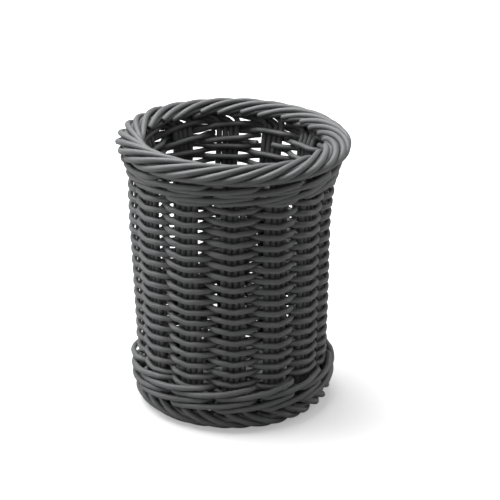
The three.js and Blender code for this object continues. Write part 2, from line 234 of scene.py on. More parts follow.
STAKES_PER_GROUP = 4
WALE_STRANDS = count_nodes("top_wale_")
GROUPS = count_nodes("stake_group_")
WEAVERS = count_nodes("weaver_")
BAY = FULL_TURN / GROUPS
FRONT_GROUP_TURN = math.radians(-5.15)
DRIFT_PHASE = math.radians(19)
LEAN_HEIGHTS = np.array([0, 10, 25, 60, 95, 110, 125, 142]) * MM
LEANS = np.array([0.8, 0.7, 0.5, 0.1, -0.6, -0.4, 0.6, 1.1]) * MM
# The weaving is raised at the back above this height, and at the left by shares of the rise
BACK_RISE_FROM = 40 * MM
LEFT_RISE_HEIGHTS = (25 * MM, 42 * MM)
LEFT_RISE_SHARES = (0.3, 1)
FLARE_UNDER_WALE = 3.84 * MM
WALE_OVER_BASE = 5.6 * MM
ROLL_START = math.radians(-54)
ROLL_END = math.radians(256)
SLIP = math.radians(0.4)
LIFT_SHARE = 0.8
UP = np.array([0.0, 0.0, 1.0])


def group_turn(group):
    """Even turn of a stake group, counted from the front one."""
    return FRONT_GROUP_TURN + group * BAY


def drifted(turn):
    """Where an even turn really lies, because the stake groups have wandered round the wall."""
    return turn + bpy.context.scene.basket_form.spacing_drift * np.cos(turn + DRIFT_PHASE)


def flare_start():
    """Height where the stakes begin to flare, under the top wale."""
    return bpy.context.scene.basket_form.top_wale_height - FLARE_UNDER_WALE


def bottom_wale_height():
    """Middle of the lower round of the bottom wale, which lies on the base sticks."""
    return bpy.context.scene.basket_form.base_height + WALE_OVER_BASE


def place(turn, radius, height):
    """Points given by their even turns round the basket, radii and heights.

    The drift of the groups, the tilt of the rim and the basket's slight lean are put in here.
    """
    form = bpy.context.scene.basket_form
    angle = drifted(turn)
    start = flare_start()
    raised = np.maximum(height - start, 0) / (form.height - start)
    low_side = 1 + np.cos(angle - form.rim_tilt_turn)
    drop = form.rim_radius * math.tan(form.rim_tilt) * raised * low_side
    lean = np.interp(height, LEAN_HEIGHTS, LEANS)
    parts = radius * np.sin(angle) + lean, -radius * np.cos(angle), height - drop
    return np.stack(np.broadcast_arrays(*parts), axis=-1)


def settled(turn, height):
    """Heights of the weaving, which is beaten down less at the back and at the left."""
    form = bpy.context.scene.basket_form
    back = form.back_rise * np.interp(height, (BACK_RISE_FROM, flare_start()), (0, 1))
    left = form.left_rise * np.interp(height, LEFT_RISE_HEIGHTS, LEFT_RISE_SHARES)
    return height + back * (1 - np.cos(turn)) / 2 - left * np.sin(turn)


def outward(turn):
    """Level directions away from the basket's axis."""
    angle = drifted(turn)
    return np.stack([np.sin(angle), -np.cos(angle), np.zeros_like(angle)], axis=-1)


def flow(at, knots, values):
    """Smooth values between knots, which never swing past them."""
    spans = np.diff(knots)
    rates = np.diff(values) / spans
    slopes = np.concatenate(([rates[0]], np.zeros(len(knots) - 2), [rates[-1]]))
    before, after = rates[:-1], rates[1:]
    weight_before, weight_after = spans[:-1] + 2 * spans[1:], 2 * spans[:-1] + spans[1:]
    same = before * after > 0
    slopes[1:-1][same] = (weight_before + weight_after)[same] / (
        weight_before[same] / before[same] + weight_after[same] / after[same]
    )
    index = np.clip(np.searchsorted(knots, at, side="right") - 1, 0, len(spans) - 1)
    span = spans[index]
    t = (at - knots[index]) / span
    return (
        values[index] * (1 + 2 * t) * (1 - t) ** 2
        + values[index + 1] * t * t * (3 - 2 * t)
        + span * slopes[index] * t * (1 - t) ** 2
        - span * slopes[index + 1] * t * t * (1 - t)
    )


def ease(t):
    """From 0 to 1 and level at both ends."""
    t = np.clip(t, 0, 1)
    return t * t * (3 - 2 * t)


class StakeLine:
    """The line of a stake seen from the side: up the wall, out in a flare and round the roll."""

    WALL_STEPS = 28
    FLARE_STEPS = 14
    ROLL_STEPS = 54
    FOOT_DROP = 4.2 * MM
    BELLY = 0.6 * MM
    UPPER_SPREAD = 1.6 * MM
    SPREAD_POWER = 6
    TURN_DELAY = 1.2
    TURN_HASTE = 1.25
    # Degrees round the roll, and the slant there in shares of the rim's slant
    SLANT_AT = (-54, 0, 60, 256)
    SLANT_OF_RIM = (0.79, 0.95, 1.1, 1.1)

    def __init__(self):
        form = bpy.context.scene.basket_form
        half = bpy.context.scene.basket_strands.stake / 2
        roll_size = np.array([form.roll_width, form.roll_height])
        middle = np.array([form.rim_radius, form.height]) - roll_size / 2
        reach = roll_size / 2 - half
        turns = np.linspace(ROLL_START, ROLL_END, self.ROLL_STEPS + 1)
        roll = middle + reach * np.stack([np.cos(turns), np.sin(turns)], -1)
        flare_from = np.array([form.wall_radius_high, flare_start()])
        wall = self.wall_to(flare_from)
        slope = -reach[1] / reach[0] / math.tan(ROLL_START)
        flare = self.flare_between(flare_from, roll[0], slope)
        self.points = np.concatenate([wall[:-1], flare[:-1], roll])
        self.flare_first = self.WALL_STEPS
        self.roll_first = self.WALL_STEPS + self.FLARE_STEPS
        self.roll_turns = np.concatenate([np.full(self.roll_first, ROLL_START), turns])
        runs = np.gradient(self.points, axis=0)
        runs /= np.linalg.norm(runs, axis=1)[:, None]
        self.normals = np.stack([runs[:, 1], -runs[:, 0]], -1)
        steps = np.linalg.norm(np.diff(self.points, axis=0), axis=1)
        self.lengths = np.concatenate([[0], np.cumsum(steps)])

    def wall_to(self, flare_from):
        """Up the wall, with a slight belly, and spreading under the top wale."""
        form = bpy.context.scene.basket_form
        wall_from = np.array([form.wall_radius_low, form.base_height - self.FOOT_DROP])
        u = np.linspace(0, 1, self.WALL_STEPS + 1)
        wall = wall_from + (flare_from - wall_from) * u[:, None]
        spread = self.UPPER_SPREAD * (u**self.SPREAD_POWER - u)
        wall[:, 0] += spread + self.BELLY * np.sin(math.pi * u)
        return wall

    def flare_between(self, flare_from, flare_to, slope):
        """From upright at the top of the wall to the slope at which the roll begins."""
        corner = np.array([flare_from[0], flare_to[1] - (flare_to[0] - flare_from[0]) * slope])
        t = np.linspace(0, 1, self.FLARE_STEPS + 1)[:, None]
        return (1 - t) ** 2 * flare_from + 2 * t * (1 - t) * corner + t * t * flare_to

    def course(self):
        """How far each point has moved round, and how much of it belongs to the rim."""
        rim_slant = bpy.context.scene.basket_form.rim_slant
        flare, roll = self.lengths[self.flare_first], self.lengths[self.roll_first]
        through_flare = (self.lengths - flare) / (roll - flare)
        share = np.clip(through_flare * (1 + self.TURN_DELAY) - self.TURN_DELAY, 0, 1)
        slant = rim_slant * np.interp(np.degrees(self.roll_turns), self.SLANT_AT, self.SLANT_OF_RIM)
        rate = ease(share * self.TURN_HASTE) / np.tan(slant) / self.points[:, 0]
        steps = np.diff(self.lengths) * (rate[1:] + rate[:-1]) / 2
        return np.concatenate([[0], np.cumsum(steps)]), ease(share)

    def wall_point(self, height, out):
        """Radii and heights of points lying so far out from the stakes, square to them."""
        line = self.points[: self.roll_first + 1]
        normals = self.normals[: self.roll_first + 1]
        radius = np.interp(height, line[:, 1], line[:, 0])
        normal_out = np.interp(height, line[:, 1], normals[:, 0])
        normal_up = np.interp(height, line[:, 1], normals[:, 1])
        return radius + out * normal_out, height + out * normal_up


# Strands swept into meshes

SIDES = 12
CUT_BEVEL = 0.35 * MM
CUT_FACE = 0.74
# The grain of each further strand in a piece begins elsewhere
GRAIN_SHIFT = 0.37


def swept(points, out, thick):
    """Rings of one round strand along points, each ring beginning on the side away from out.

    The two ends are cut square with a small rounded edge.
    """
    run = np.gradient(points, axis=0)
    run /= np.linalg.norm(run, axis=1)[:, None]
    first = points[0] + run[0] * CUT_BEVEL
    last = points[-1] - run[-1] * CUT_BEVEL
    points = np.concatenate([points[:1], [first], points[1:-1], [last], points[-1:]])
    run = np.concatenate([run[:1], run[:1], run[1:-1], run[-1:], run[-1:]])
    out = np.concatenate([out[:1], out[:1], out[1:-1], out[-1:], out[-1:]])
    axis = out - run * np.sum(out * run, axis=1)[:, None]
    axis /= np.linalg.norm(axis, axis=1)[:, None]
    across = np.cross(run, axis)
    radii = np.full((len(points), 1, 1), thick / 2)
    radii[[0, -1]] *= CUT_FACE
    angles = (np.linspace(0, FULL_TURN, SIDES, endpoint=False) + math.pi)[:, None]
    sides = np.cos(angles) * axis[:, None] + np.sin(angles) * across[:, None]
    rings = points[:, None] + radii * sides
    steps = np.linalg.norm(np.diff(points, axis=0), axis=1)
    return rings, np.concatenate([[0], np.cumsum(steps)])


def make_mesh(name, strands):
    """One mesh from the rings of one or more strands, with lengths of strand as its UV map."""
    points, corners, sizes, uvs = [], [], [], []
    first = 0
    for number, (rings, lengths) in enumerate(strands):
        count = len(rings)
        side = np.arange(SIDES)
        after = (side + 1) % SIDES
        low = first + np.arange(count - 1)[:, None] * SIDES
        quads = np.stack([low + side, low + after, low + SIDES + after, low + SIDES + side], -1)
        corners.append(quads.reshape(-1))
        sizes.append(np.full((count - 1) * SIDES, 4))
        u = np.stack([side, side + 1, side + 1, side], -1) / SIDES
        v = np.stack([lengths[:-1], lengths[:-1], lengths[1:], lengths[1:]], -1)
        v = v + number * GRAIN_SHIFT
        u, v = np.broadcast_arrays(u[None], v[:, None])
        uvs.append(np.stack([u, v], -1).reshape(-1, 2))
        corners.append(np.concatenate([first + side[::-1], first + (count - 1) * SIDES + side]))
        sizes.append(np.array([SIDES, SIDES]))
        uvs.append(np.full((2 * SIDES, 2), 0.5))
        points.append(rings.reshape(-1, 3))
        first += count * SIDES
    points, corners, uvs = np.concatenate(points), np.concatenate(corners), np.concatenate(uvs)
    sizes = np.concatenate(sizes)
    mesh = bpy.data.meshes.new(name)
    mesh.vertices.add(len(points))
    mesh.vertices.foreach_set("co", points.astype(np.float32).ravel())
    mesh.loops.add(len(corners))
    mesh.loops.foreach_set("vertex_index", corners.astype(np.int32))
    mesh.polygons.add(len(sizes))
    starts = np.concatenate([[0], np.cumsum(sizes)[:-1]])
    mesh.polygons.foreach_set("loop_start", starts.astype(np.int32))
    mesh.update(calc_edges=True)
    mesh.validate()
    layer = mesh.uv_layers.new(name="strand")
    layer.data.foreach_set("uv", uvs.astype(np.float32).ravel())
    mesh.polygons.foreach_set("use_smooth", sizes == 4)
    return mesh


def add_piece(name, strands, slot, node):
    """A piece of the basket, in the finish of its slot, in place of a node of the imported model."""
    piece = bpy.data.objects.new(name, make_mesh(name, strands))
    bpy.context.scene.collection.objects.link(piece)
    piece.data.materials.append(plastic(slot))
    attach(piece, "root")
    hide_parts(node)


def hand(name):
    """A source of unevenness for one part of the work, the same at each run."""
    seed = bpy.context.scene.basket_finish.seed
    return np.random.default_rng([seed, sum(map(ord, name))])


# Finishes

# Die lines round a strand, and its roughness where it is smooth and where it is rough
GRAIN = {
    "stake": (22.0, 0.57, 0.69),
    "weave": (26.0, 0.55, 0.67),
    "wale": (24.0, 0.57, 0.69),
    "foot": (24.0, 0.58, 0.70),
    "base": (28.0, 0.58, 0.70),
}


def add_node(tree, kind, **inputs):
    """A node with values for its inputs, whose names have _ where the input has a space."""
    node = tree.nodes.new(kind)
    for key, value in inputs.items():
        node.inputs[key.replace("_", " ")].default_value = value
    return node


def plastic(slot):
    """Extruded charcoal plastic: die lines along the strand, cloudy colour and a satin surface."""
    name = f"{slot}_plastic"
    found = bpy.data.materials.get(name)
    if found:
        return found
    finish = bpy.context.scene.basket_finish
    lines_round, smooth, rough = GRAIN[slot]
    material = bpy.data.materials.new(name)
    material.use_nodes = True
    material.diffuse_color = (*finish.charcoal, 1)
    tree = material.node_tree
    link = tree.links.new
    shader = tree.nodes["Principled BSDF"]
    shader.inputs["IOR"].default_value = 1.49

    whereabouts = add_node(tree, "ShaderNodeTexCoord")
    stretch = add_node(tree, "ShaderNodeMapping", Scale=(lines_round, 34.0, 1.0))
    link(whereabouts.outputs["UV"], stretch.inputs["Vector"])
    lines = add_node(tree, "ShaderNodeTexNoise", Scale=1.0, Detail=3.0, Roughness=0.6)
    link(stretch.outputs["Vector"], lines.inputs["Vector"])
    clouds = add_node(tree, "ShaderNodeTexNoise", Scale=95.0, Detail=4.0, Roughness=0.55)
    link(whereabouts.outputs["Object"], clouds.inputs["Vector"])
    grain = add_node(tree, "ShaderNodeTexNoise", Scale=2600.0, Detail=2.0, Roughness=0.5)
    link(whereabouts.outputs["Object"], grain.inputs["Vector"])

    blend = add_node(tree, "ShaderNodeMix", Factor=0.55)
    blend.data_type = "FLOAT"
    link(lines.outputs["Fac"], blend.inputs["A"])
    link(clouds.outputs["Fac"], blend.inputs["B"])
    ramp = add_node(tree, "ShaderNodeValToRGB")
    ramp.color_ramp.elements[0].position = 0.34
    ramp.color_ramp.elements[0].color = (*finish.charcoal, 1)
    ramp.color_ramp.elements[1].position = 0.70
    ramp.color_ramp.elements[1].color = (*finish.worn_charcoal, 1)
    link(blend.outputs["Result"], ramp.inputs["Fac"])
    link(ramp.outputs["Color"], shader.inputs["Base Color"])

    sheen = add_node(
        tree, "ShaderNodeMapRange", From_Min=0.3, From_Max=0.7, To_Min=smooth, To_Max=rough,
    )
    link(blend.outputs["Result"], sheen.inputs["Value"])
    link(sheen.outputs["Result"], shader.inputs["Roughness"])

    fine = add_node(tree, "ShaderNodeBump", Strength=0.12, Distance=0.04 * MM)
    link(grain.outputs["Fac"], fine.inputs["Height"])
    ridges = add_node(tree, "ShaderNodeBump", Strength=0.35, Distance=0.06 * MM)
    link(lines.outputs["Fac"], ridges.inputs["Height"])
    link(fine.outputs["Normal"], ridges.inputs["Normal"])
    link(ridges.outputs["Normal"], shader.inputs["Normal"])
    return material


# Stakes, weave and wales


class BASKET_OT_set_stakes(bpy.types.Operator):
    """Stand the stake groups up and roll their ends over into the rim"""

    bl_idname = "basket.set_stakes"
    bl_label = "Set stakes and roll the rim"

    DEPTH = 2.6 * MM
    DEPTH_AT_END = 0.8 * MM
    # Where each stake of a group lies in the rim, in shares of a bay, and how deep
    RIM_PLACES = ((-1 / 2, DEPTH), (-1 / 4, 0), (1 / 4, 0), (0, DEPTH))
    # Degrees round the roll
    RISES_FROM, RISES_OVER = 120, 70
    DEEP_ENDS, UPPER_ENDS = (208, 240), (168, 214)
    SINK_HASTE = 1.6
    SWAY = 0.7
    SWAY_LENGTH = 17 * MM

    def execute(self, context):
        line = StakeLine()
        uneven = hand("stakes")
        for group in range(GROUPS):
            places = range(STAKES_PER_GROUP)
            stakes = [self.bend_stake(line, uneven, group, stake) for stake in places]
            number = group + 1
            add_piece(f"stakes_{number}", stakes, "stake", f"stake_group_{number}")
        return {"FINISHED"}

    def bend_stake(self, line, uneven, group, stake):
        """One stake, which keeps its place in the wall and takes another in the rim."""
        form = bpy.context.scene.basket_form
        strands = bpy.context.scene.basket_strands
        rim_place, depth = self.RIM_PLACES[stake]
        turns, share = line.course()
        rolled = np.degrees(line.roll_turns)
        slip, swell, sway = uneven.normal(size=3)
        end = uneven.uniform(*(self.DEEP_ENDS if depth else self.UPPER_ENDS))

        stretch = 1 - form.spacing_drift * math.sin(group_turn(group) + DRIFT_PHASE)
        in_wall = (stake - (STAKES_PER_GROUP - 1) / 2) * strands.stake_pitch / stretch
        wave = np.sin(line.lengths / self.SWAY_LENGTH + slip)
        wander = self.SWAY * strands.unevenness * sway * wave
        turn = group_turn(group) + turns + in_wall / line.points[:, 0] * (1 - share)
        turn = turn + (rim_place * BAY + SLIP * slip) * share + wander / line.points[:, 0]

        sunk = depth * ease(share * self.SINK_HASTE)
        if depth:
            rises = ease((rolled - self.RISES_FROM) / self.RISES_OVER)
            sunk = sunk - (depth - self.DEPTH_AT_END) * rises
        lift = strands.unevenness * swell * share - sunk
        points = line.points + line.normals * lift[:, None]
        out = outward(turn) * line.normals[:, :1]
        out[:, 2] = line.normals[:, 1]
        keep = rolled <= end
        path = place(turn, points[:, 0], points[:, 1])
        return swept(path[keep], out[keep], strands.stake)


class BASKET_OT_weave_wall(bpy.types.Operator):
    """Weave the plain wall, in front of one stake group and behind the next"""

    bl_idname = "basket.weave_wall"
    bl_label = "Weave the wall"

    samples: IntProperty(
        name="Samples", description="Rings of a strand from one stake group to the next",
        default=14, min=4, max=60,
    )

    # Pass 0 lies at this stake group, counted from the front
    START = -5
    PASSES = 72
    EARLIER_PASSES = 11
    LATER_PASSES = 8
    END_GAP = 0.01
    BOTTOM = 25.4 * MM
    INSIDE_OVER_WALE = 9.6 * MM
    BEND_AT = math.radians(6.54)
    SAG = 0.8 * MM
    LEAST_BULGE = 0.1 * MM

    def execute(self, context):
        line = StakeLine()
        uneven = hand("weave")
        for number in range(WEAVERS):
            first = number * self.PASSES - (self.EARLIER_PASSES if number == 0 else 0)
            last = (number + 1) * self.PASSES
            last += self.LATER_PASSES if number == WEAVERS - 1 else 0
            strand = self.weave(line, uneven, first, last)
            add_piece(f"weave_{number + 1}", [strand], "weave", f"weaver_{number + 1}")
        return {"FINISHED"}

    def weave(self, line, uneven, first, last):
        """One strand of the plain weave, from its first pass to its last."""
        strands = bpy.context.scene.basket_strands
        layer = strands.stake / 2 + strands.weaver / 2
        edge = self.BEND_AT / BAY
        climb = strands.row_pitch / GROUPS
        lowest_inside = bottom_wale_height() + self.INSIDE_OVER_WALE
        knots, outs, lifts = [], [], []
        for passed in range(first, last + 1):
            outside = (passed + self.START) % 2 == 0
            bulge = strands.unevenness * abs(uneven.normal())
            lift = LIFT_SHARE * strands.unevenness * uneven.normal()
            if not outside:
                lift = max(lift, lowest_inside - self.BOTTOM - climb * passed)
            for share, more in ((-edge, 0), (0, bulge + self.LEAST_BULGE), (edge, 0)):
                knots.append(passed + share)
                outs.append(layer + more if outside else -layer - more / 2)
                lifts.append(lift - (self.SAG if outside and share == 0 else 0))
        knots, outs, lifts = map(np.array, (knots, outs, lifts))
        bays = np.arange(first + self.END_GAP, last - self.END_GAP, 1 / self.samples)
        height = self.BOTTOM + climb * bays + flow(bays, knots, lifts)
        turn = group_turn(self.START + bays)
        radius, height = line.wall_point(settled(turn, height), flow(bays, knots, outs))
        return swept(place(turn, radius, height), outward(turn), strands.weaver)


# A wale begins at this stake group, and its gaps and tails are in shares of a bay
WALE_START = 6
WALE_BEND_AT = math.radians(7.69)
WALE_ROUND_GAP = 0.2 * MM
WALE_STEPS_EARLY = 2
WALE_TUCKED = 0.3
WALE_TAIL = 0.75
WALE_SAMPLES = 16
SLACK_POWER = 1.5


def wale_rise(rounds, bays, climb):
    """Height of a wale above the middle of its first round.

    It climbs evenly with the weave below it, and steps up where the next round begins.
    """
    strands = bpy.context.scene.basket_strands
    step = (WALE_STRANDS - 1) * strands.wale_pitch + WALE_ROUND_GAP - climb
    rise = climb * (bays / GROUPS - 0.5)
    for turn in range(1, rounds):
        rise += step * ease((bays - turn * GROUPS + WALE_STEPS_EARLY) / WALE_STRANDS)
    return rise


def work_wale(name, base, inside, outside, slack, climb=0.0):
    """Three strands, each behind one group and in front of the next two, climbing as it goes.

    Outside and slack hold a distance for each round. Between two groups a strand stands out
    by the slack.
    """
    strands = bpy.context.scene.basket_strands
    line = StakeLine()
    rounds = len(outside)
    edge = WALE_BEND_AT / BAY
    stroke = WALE_STRANDS - 2 + 2 * edge
    rise = strands.wale_pitch * stroke / 2
    dip = strands.wale_pitch - rise
    uneven = hand(name)
    last_pass = rounds * GROUPS + 1
    for number in range(WALE_STRANDS):
        last = last_pass - (last_pass - number) % WALE_STRANDS
        knots, outs, lifts = [], [], []
        for passed in range(max(number - 1, 0), last + 1):
            phase = (passed - number) % WALE_STRANDS
            bulge = strands.unevenness * abs(uneven.normal())
            for share in (-edge, 0, edge):
                knots.append(passed + share)
                if phase == 0:
                    outs.append(-inside)
                    lifts.append(-dip * share / edge)
                else:
                    along = (phase - 1 + share + edge) / stroke
                    round_now = min(passed // GROUPS, rounds - 1)
                    loose = slack[round_now] * math.sin(math.pi * along) ** SLACK_POWER
                    outs.append(outside[round_now] + bulge + loose)
                    lifts.append(rise * (2 * along - 1))
        knots, outs, lifts = map(np.array, (knots, outs, lifts))
        first = max(number - WALE_TAIL, WALE_TUCKED)
        bays = np.arange(first, last - WALE_TUCKED, 1 / WALE_SAMPLES)
        height = base + flow(bays, knots, lifts) + wale_rise(rounds, bays, climb)
        turn = group_turn(WALE_START + bays)
        radius, height = line.wall_point(settled(turn, height), flow(bays, knots, outs))
        strand = swept(place(turn, radius, height), outward(turn), strands.wale)
        add_piece(f"{name}_strand_{number + 1}", [strand], "wale", f"{name}_{number + 1}")


class BASKET_OT_work_top_wale(bpy.types.Operator):
    """Work the three-strand wale under the rim"""

    bl_idname = "basket.work_top_wale"
    bl_label = "Work the top wale"

    SLACK = (1.0 * MM, 1.0 * MM)
    CLIMB = 2.6 * MM

    def execute(self, context):
        strands = context.scene.basket_strands
        layer = (strands.stake + strands.wale) / 2
        height = context.scene.basket_form.top_wale_height
        work_wale("top_wale", height, layer, (layer, layer), self.SLACK, self.CLIMB)
        return {"FINISHED"}


class BASKET_OT_work_bottom_wale(bpy.types.Operator):
    """Work the three-strand wale over the foot border"""

    bl_idname = "basket.work_bottom_wale"
    bl_label = "Work the bottom wale"

    SLACK = (0.9 * MM, 1.9 * MM)
    OVER_FOOT = (1, 0.8)

    def execute(self, context):
        strands = context.scene.basket_strands
        layer = (strands.stake + strands.wale) / 2
        outside = [layer + share * strands.foot for share in self.OVER_FOOT]
        work_wale("bottom_wale", bottom_wale_height(), layer, outside, self.SLACK)
        return {"FINISHED"}


# Foot and base


class BASKET_OT_lace_foot(bpy.types.Operator):
    """Bring the foot strands down beside the stakes, slant them and turn them under the foot"""

    bl_idname = "basket.lace_foot"
    bl_label = "Lace the foot"

    # Degrees between the strand and its run round the foot, from its inner end up
    SLANTS = (24, 23, 22, 22, 23, 27, 32)
    WALE_REACH = 3.8 * MM
    UP_IN_WALE = 3.4 * MM
    STEP = 0.45 * MM
    UNDER = 2.3 * MM
    UNDER_HASTE = 9
    DEEPER_SHORT = 1 * MM

    def execute(self, context):
        strands = context.scene.basket_strands
        along, slant_end, radius, height, to_go = self.side_line()
        slanted = np.minimum(along / slant_end, 1)
        runs_out = np.gradient(np.stack([radius, height], -1), axis=0)
        runs_out /= np.linalg.norm(runs_out, axis=1)[:, None]
        under = self.UNDER * ease((1 - slanted) * self.UNDER_HASTE)
        under_radius = radius - under * runs_out[:, 1]
        under_height = height + under * runs_out[:, 0]
        below_wale = along < slant_end - self.DEEPER_SHORT
        beside_stakes = (STAKES_PER_GROUP - 1) / 2 * strands.stake_pitch
        beside_stakes /= context.scene.basket_form.wall_radius_low
        uneven = hand("foot")
        number = 0
        for group in range(GROUPS):
            for side in (-1, 1):
                number += 1
                slip, swell = uneven.normal(size=2)
                turn = group_turn(group) + side * beside_stakes + to_go
                turn = turn + SLIP * slip * (1 - slanted)
                bulge = LIFT_SHARE * strands.unevenness * swell * np.sin(slanted * math.pi)
                strand = swept(place(turn, radius + bulge, height), outward(turn), strands.foot)
                turn = turn + BAY / 4
                path = place(turn, under_radius, under_height)[below_wale]
                deeper = swept(path, outward(turn)[below_wale], strands.foot)
                add_piece(f"foot_{number}", [strand, deeper], "foot", f"foot_strand_{number}")
        return {"FINISHED"}

    def side_line(self):
        """A foot strand seen from the side: where it lies and its turns still to go.

        It begins with its inner end. The slant ends where the strand goes up into the wale.
        """
        form = bpy.context.scene.basket_form
        strands = bpy.context.scene.basket_strands
        line = StakeLine()
        half = strands.foot / 2
        layer = strands.stake / 2 + half
        inner = form.wall_radius_low - layer
        outer = form.foot_radius - half
        middle = (inner + outer) / 2
        reach = (outer - inner) / 2
        wale_under = bottom_wale_height() - self.WALE_REACH
        bulge = (wale_under + half) / 2
        side = np.array([
            (inner, form.base_height - strands.base / 2),
            (inner, bulge * 0.6),
            (middle - reach * 0.55, half),
            (middle - reach * 0.3, half),
            (middle + reach * 0.47, half + (bulge - half) * 0.35),
            (outer, bulge),
            line.wall_point(wale_under, layer),
            line.wall_point(bottom_wale_height() + self.UP_IN_WALE, layer),
        ])
        runs = np.concatenate([[0], np.cumsum(np.linalg.norm(np.diff(side, axis=0), axis=1))])
        rates = np.append(1 / np.tan(np.radians(self.SLANTS)), 0)
        steps = np.diff(runs) * (rates[1:] + rates[:-1]) / 2 / side[1:, 0]
        steps[-1] = 0
        turns_to_go = np.append(np.cumsum(steps[::-1])[::-1], 0)
        along = np.arange(0, runs[-1], self.STEP)
        lines = [flow(along, runs, values) for values in (side[:, 0], side[:, 1], turns_to_go)]
        return along, runs[-2], *lines


def through(points, per_span):
    """A smooth line through points in space."""
    padded = np.concatenate([2 * points[:1] - points[1:2], points, 2 * points[-1:] - points[-2:-1]])
    t = np.linspace(0, 1, per_span, endpoint=False)[:, None]
    spans = []
    for i in range(1, len(padded) - 2):
        a, b, c, d = padded[i - 1], padded[i], padded[i + 1], padded[i + 2]
        spans.append(
            0.5 * (2 * b + (c - a) * t + (2 * a - 5 * b + 4 * c - d) * t**2
                   + (3 * b - a - 3 * c + d) * t**3)
        )
    return np.concatenate([*spans, points[-1:]])


FLAT_RADIUS = 18.6 * MM


class BASKET_OT_lay_base_sticks(bpy.types.Operator):
    """Lay the double sticks of the base across each other and fan them out"""

    bl_idname = "basket.lay_base_sticks"
    bl_label = "Lay the base sticks"

    # Each stick joins two stake groups
    LOWER_STICKS = ((0, 8), (1, 7), (2, 6))
    UPPER_STICKS = ((3, 11), (4, 10), (5, 9))
    HALF_STICK = 12
    FAN_RADIUS = 13.2 * MM
    HALF_STICK_GAP = 0.3 * MM
    WALL_GAP = 0.4 * MM
    SAMPLES = 9

    def execute(self, context):
        form = context.scene.basket_form
        strands = context.scene.basket_strands
        level = form.base_height
        end = form.wall_radius_low - strands.stake / 2 - self.WALL_GAP
        number = 0
        for which, sticks in ((-1, self.LOWER_STICKS), (1, self.UPPER_STICKS)):
            raised = level + which * strands.base / 2
            for groups in sticks:
                number += 1
                here, there = (self.spoke(group, end, level, raised) for group in groups)
                bends = np.array([*here, *reversed(there)])
                self.add_double(bends, f"base_stick_{number}")
        turn = group_turn(self.HALF_STICK)
        start = self.FAN_RADIUS + self.HALF_STICK_GAP
        reaches = start, (self.FAN_RADIUS + end) / 2, end
        bends = np.array([place(turn, reach, level) for reach in reaches])
        self.add_double(bends, "base_half_stick")
        return {"FINISHED"}

    def spoke(self, group, end, level, raised):
        """The bends of one end of a stick, from the wall in to where it crosses the others."""
        turn = group_turn(group)
        flat = [place(turn, reach, level) for reach in (end, (end + FLAT_RADIUS) / 2, FLAT_RADIUS)]
        return [*flat, place(turn, self.FAN_RADIUS, raised)]

    def add_double(self, bends, node):
        """Two rods side by side along the bends."""
        thick = bpy.context.scene.basket_strands.base
        line = through(bends, self.SAMPLES)
        left = np.cross(UP, np.gradient(line, axis=0))
        left /= np.linalg.norm(left, axis=1)[:, None]
        ups = np.broadcast_to(UP, line.shape)
        rods = [swept(line + left * (thick / 2 * side), ups, thick) for side in (-1, 1)]
        add_piece(node.replace("base", "bottom"), rods, "base", node)


class BASKET_OT_weave_base(bpy.types.Operator):
    """Weave the base over one spoke and under the next"""

    bl_idname = "basket.weave_base"
    bl_label = "Weave the base"

    START = 4
    ROW_GAP = 0.13 * MM
    SPOKE_GAP = 0.35 * MM
    OUTER = 38.7 * MM
    SAMPLES = 10

    def execute(self, context):
        strands = context.scene.basket_strands
        layer = strands.base / 2 + strands.weaver / 2
        pitch = strands.weaver + self.ROW_GAP
        inner = FLAT_RADIUS + strands.weaver / 2
        passes = int((self.OUTER - inner) / pitch * GROUPS)
        knots, lifts = [], []
        for passed in range(passes + 1):
            reach = (strands.base + self.SPOKE_GAP) / (inner + pitch * passed / GROUPS) / BAY
            for share in (-reach, reach):
                knots.append(passed + share)
                lifts.append(layer if passed % 2 == 0 else -layer)
        bays = np.arange(0, passes, 1 / self.SAMPLES)
        lift = flow(bays, np.array(knots), np.array(lifts))
        radius = inner + pitch * bays / GROUPS
        height = context.scene.basket_form.base_height + lift
        path = place(group_turn(self.START + bays), radius, height)
        strand = swept(path, np.broadcast_to(UP, path.shape), strands.weaver)
        add_piece("bottom_weave", [strand], "base", "base_weaver")
        return {"FINISHED"}


# Studio


